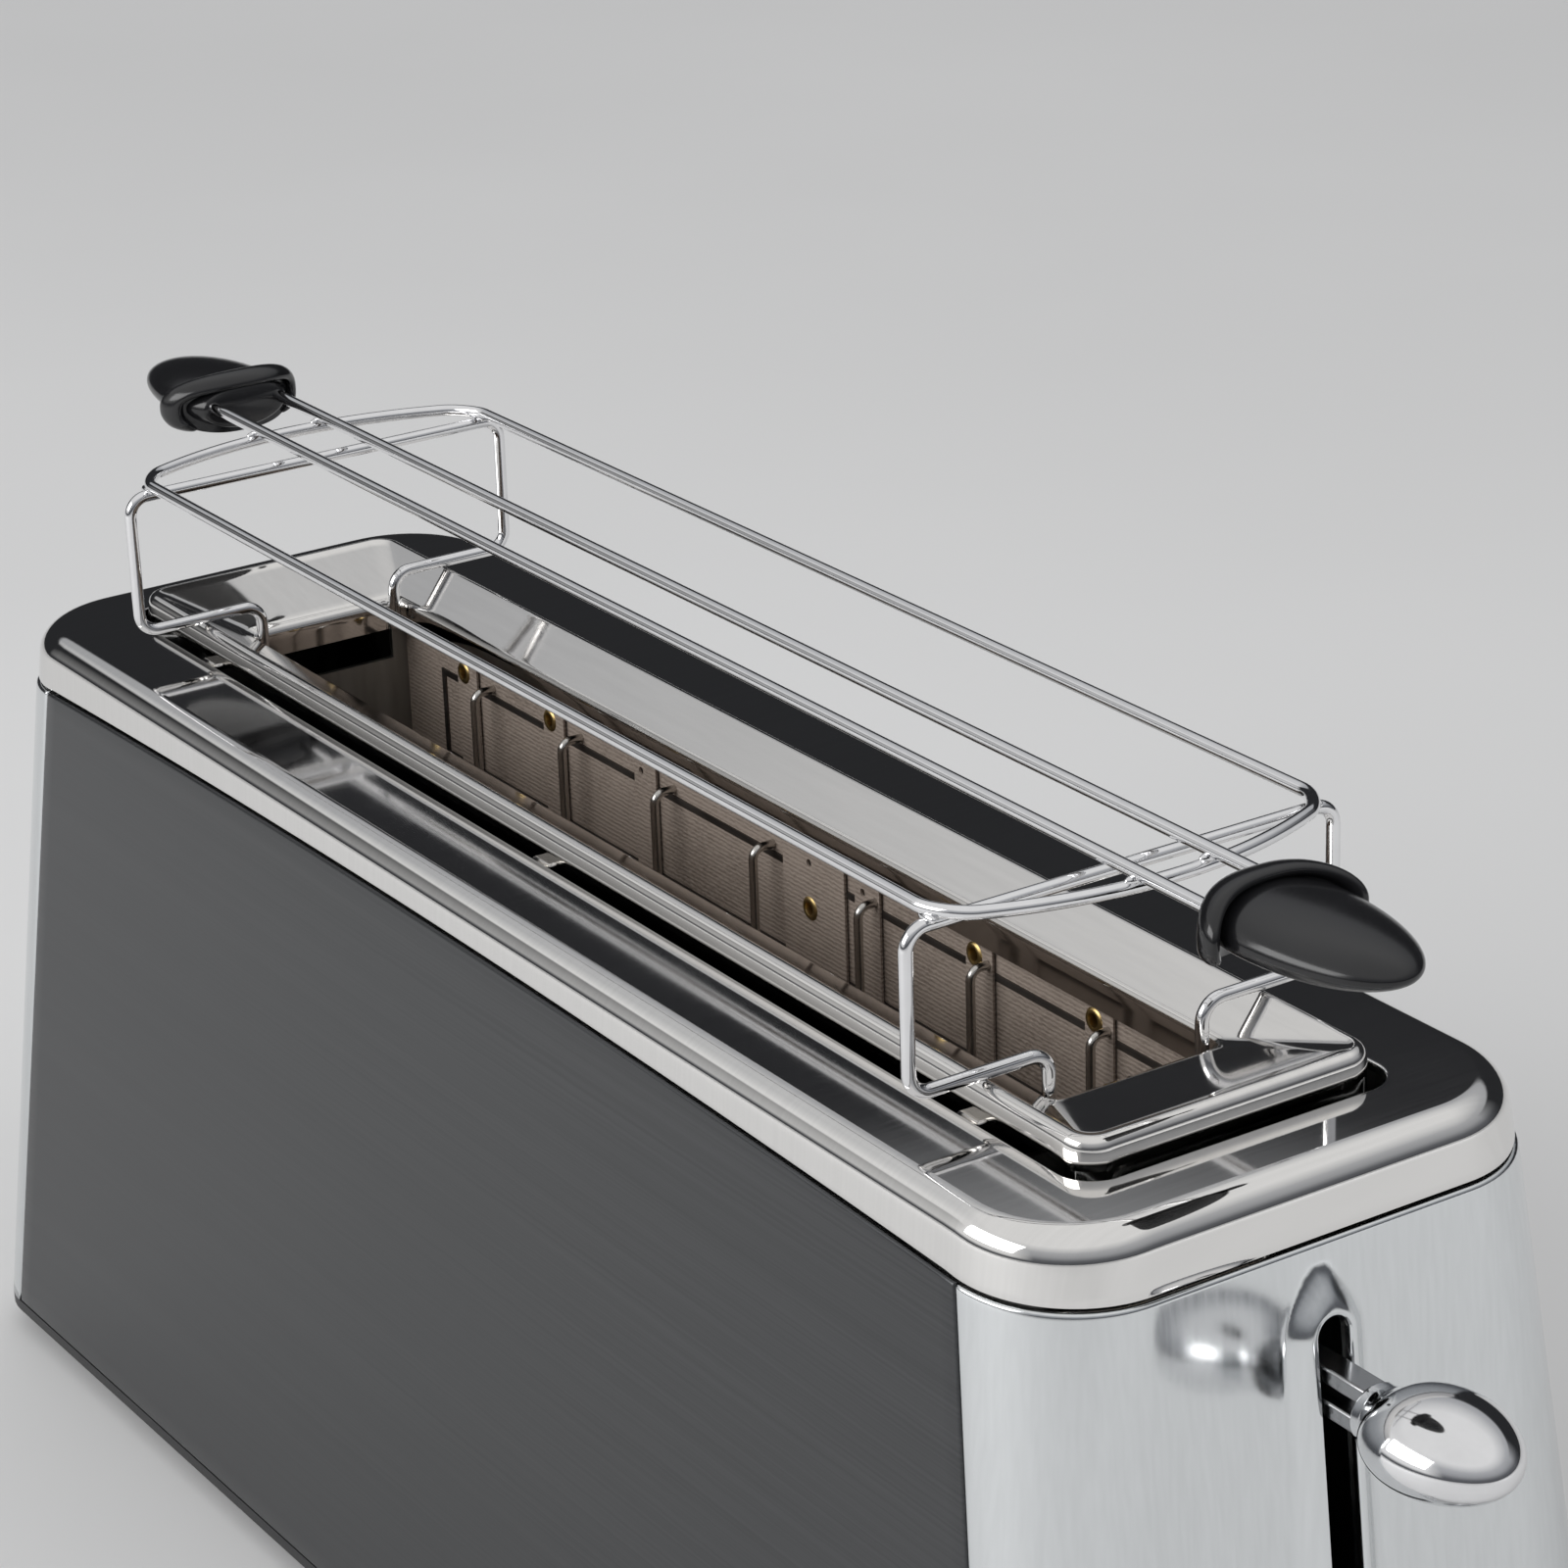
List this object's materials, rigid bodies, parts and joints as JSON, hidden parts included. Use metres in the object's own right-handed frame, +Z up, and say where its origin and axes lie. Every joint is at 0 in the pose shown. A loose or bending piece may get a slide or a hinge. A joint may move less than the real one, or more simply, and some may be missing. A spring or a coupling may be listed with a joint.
{
  "type": "long-slot toaster",
  "caption": "Long-slot toaster with a flared steel body, dark brushed side panels, a sliding lever, heater boards, a crumb tray and a lift-off wire warming rack.",
  "frame": {"origin": "middle of the bounding box, on the surface that the feet stand on", "axes": "+X along the body towards the lever end, +Y to the far side, +Z up"},
  "size_m": [0.4464, 0.133, 0.2212],
  "materials": {
    "mirror_steel": "mirror polished",
    "bezel_steel": "satin",
    "dark_lacquer": "brushed under clear dark lacquer",
    "satin_steel": "fine satin",
    "black_plastic": "matte",
    "foot_rubber": "matte",
    "plated_screw": "zinc plated",
    "plated_sheet": "plated sheet",
    "mica": "pressed mica board",
    "heater_alloy": "oxidised",
    "brass": "bright",
    "guard_steel": "drawn wire",
    "dark_steel": "blackened",
    "chrome": "polished",
    "magnet_iron": "bare",
    "coil_winding": "varnished winding",
    "dial_steel": "spun satin",
    "board_laminate": "printed board",
    "switch_plastic": "matte",
    "handle_plastic": "satin black"
  },
  "bodies": {
    "body": {"base_plate": "black_plastic", "base_screws": "plated_screw", "bezel_standoffs": "bezel_steel", "board_posts": "switch_plastic", "button_switches": "switch_plastic", "control_board": "board_laminate", "cord_end_chassis_plate": "plated_sheet", "cord_end_panel": "satin_steel", "cord_gland": "black_plastic", "dial_potentiometer": "switch_plastic", "far_brass_eyelets": "brass", "far_guard_wires": "guard_steel", "far_heater_board": "mica", "far_heater_ribbon": "heater_alloy", "far_mica_strips": "mica", "far_reflector": "plated_sheet", "far_side_panel": "dark_lacquer", "guide_rod": "guard_steel", "guide_rod_bracket": "plated_sheet", "lever_end_chassis_plate": "plated_sheet", "lever_end_panel": "satin_steel", "magnet_coil": "coil_winding", "magnet_core": "magnet_iron", "near_brass_eyelets": "brass", "near_guard_wires": "guard_steel", "near_heater_board": "mica", "near_heater_ribbon": "heater_alloy", "near_mica_strips": "mica", "near_reflector": "plated_sheet", "near_side_panel": "dark_lacquer", "rubber_feet": "foot_rubber", "slot_bezel": "bezel_steel", "switch_block": "black_plastic", "switch_leaves": "brass", "terminal_block": "black_plastic", "terminal_screws": "plated_screw", "top_cover": "mirror_steel"},
    "carriage": {"lever_carriage": "plated_sheet", "lever_arm": "dark_steel", "lever_knob": "chrome", "bread_lifter": "guard_steel", "armature_plate": "magnet_iron", "lift_spring": "guard_steel"},
    "rack": {"rack_frame_wire": "chrome", "rack_handle_cord_end": "handle_plastic", "rack_handle_lever_end": "handle_plastic", "rack_leg_cord_end": "chrome", "rack_leg_lever_end": "chrome", "rack_rails": "chrome"},
    "tray": {"crumb_tray": "plated_sheet"},
    "dial": {"browning_dial": "dial_steel", "dial_shaft": "dial_steel"},
    "cancel": {"cancel_button": "dial_steel"},
    "defrost": {"defrost_button": "dial_steel"},
    "reheat": {"reheat_button": "dial_steel"}
  },
  "joints": [
    {"name": "lever_slide", "type": "slide", "parent": "body", "child": "carriage", "axis": [0, 0, 1], "range_m": [-0.055, 0.006], "stiffness_N_per_m": 100, "springref_m": 0.01864, "deforming": ["lift_spring"]},
    {"name": "rack_lift", "type": "slide", "parent": "body", "child": "rack", "axis": [0, 0, 1], "range_m": [0, 0.05]},
    {"name": "crumb_tray_slide", "type": "slide", "parent": "body", "child": "tray", "axis": [-1, 0, 0], "range_m": [0, 0.3]},
    {"name": "browning_dial_turn", "type": "hinge", "parent": "body", "child": "dial", "pos_m": [0.1906, 0.024, 0.04], "axis": [0.9943, 0, 0.1069], "range_deg": [-135, 135]},
    {"name": "cancel_button_press", "type": "slide", "parent": "body", "child": "cancel", "axis": [-0.9943, 0, -0.1069], "range_m": [0, 0.0025], "stiffness_N_per_m": 300},
    {"name": "defrost_button_press", "type": "slide", "parent": "body", "child": "defrost", "axis": [-0.9943, 0, -0.1069], "range_m": [0, 0.0025], "stiffness_N_per_m": 300},
    {"name": "reheat_button_press", "type": "slide", "parent": "body", "child": "reheat", "axis": [-0.9943, 0, -0.1069], "range_m": [0, 0.0025], "stiffness_N_per_m": 300}
  ]
}
